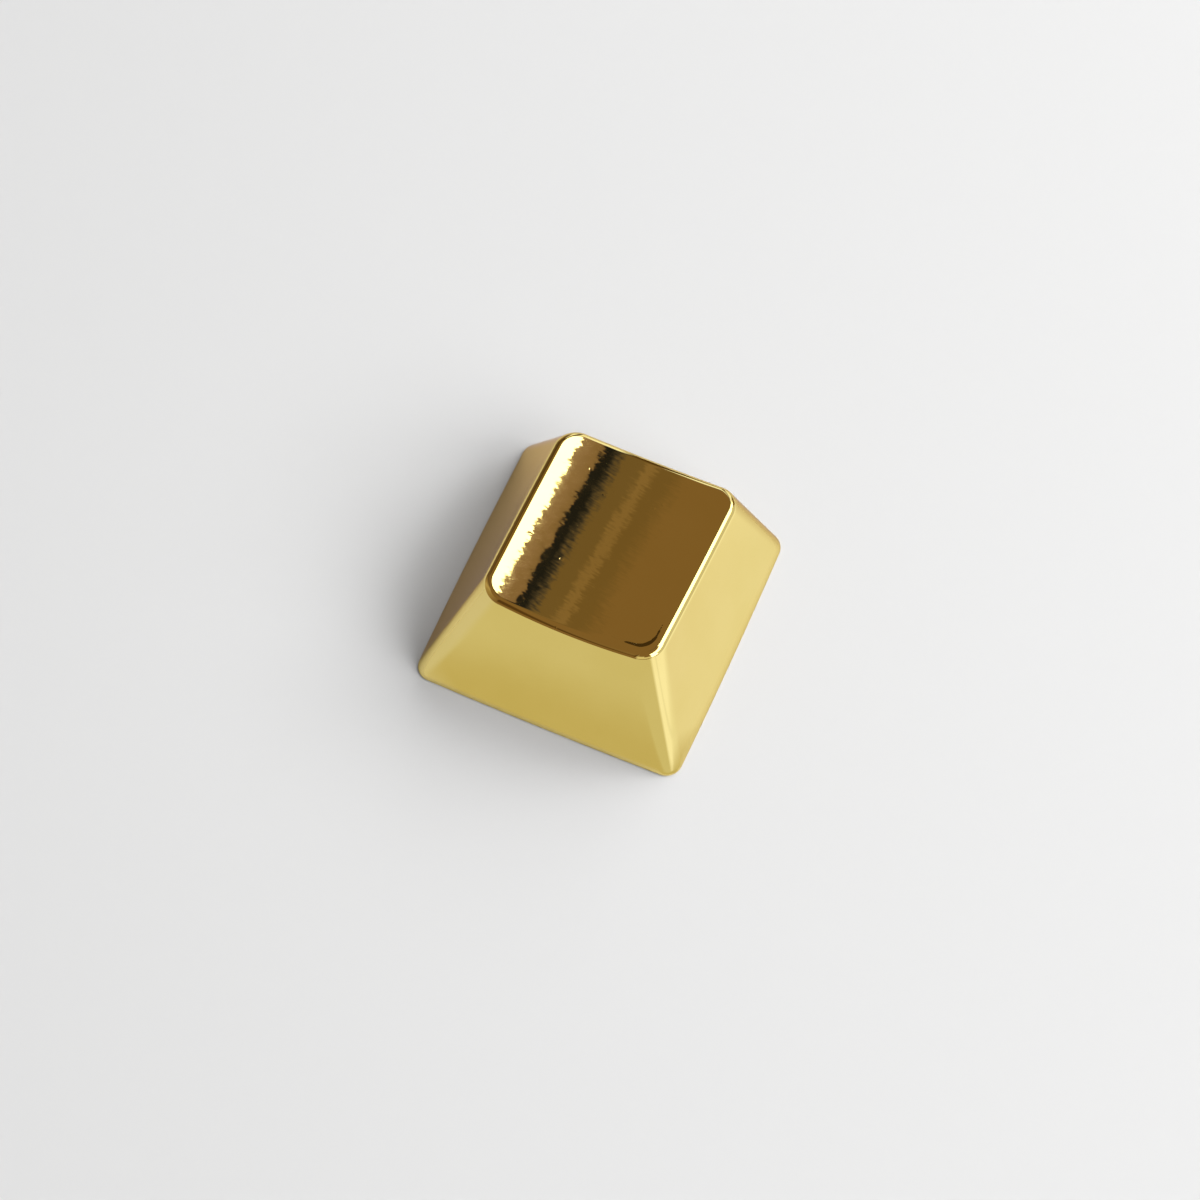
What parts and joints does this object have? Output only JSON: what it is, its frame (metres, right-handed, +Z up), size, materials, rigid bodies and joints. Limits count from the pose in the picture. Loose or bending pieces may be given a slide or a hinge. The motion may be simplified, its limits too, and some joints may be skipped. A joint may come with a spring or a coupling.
{
  "type": "keycap",
  "caption": "Square metal keycap with leaning sides, a dished sloping top, a hollow underside and a stem with a cross-shaped socket.",
  "frame": {"origin": "on the stem's axis in the plane of the bottom rim, which is the middle of the footprint", "axes": "+Z up out of the dished top, -Y to the front, which is the higher and more sloping side, +X to the right"},
  "size_m": [0.0182, 0.0182, 0.0075],
  "materials": {
    "plated_metal": "mirror-polished pale gold plating on cast metal, with faint polishing ripples and a few fine pits"
  },
  "bodies": {
    "root": {"keycap": "plated_metal"}
  },
  "joints": []
}
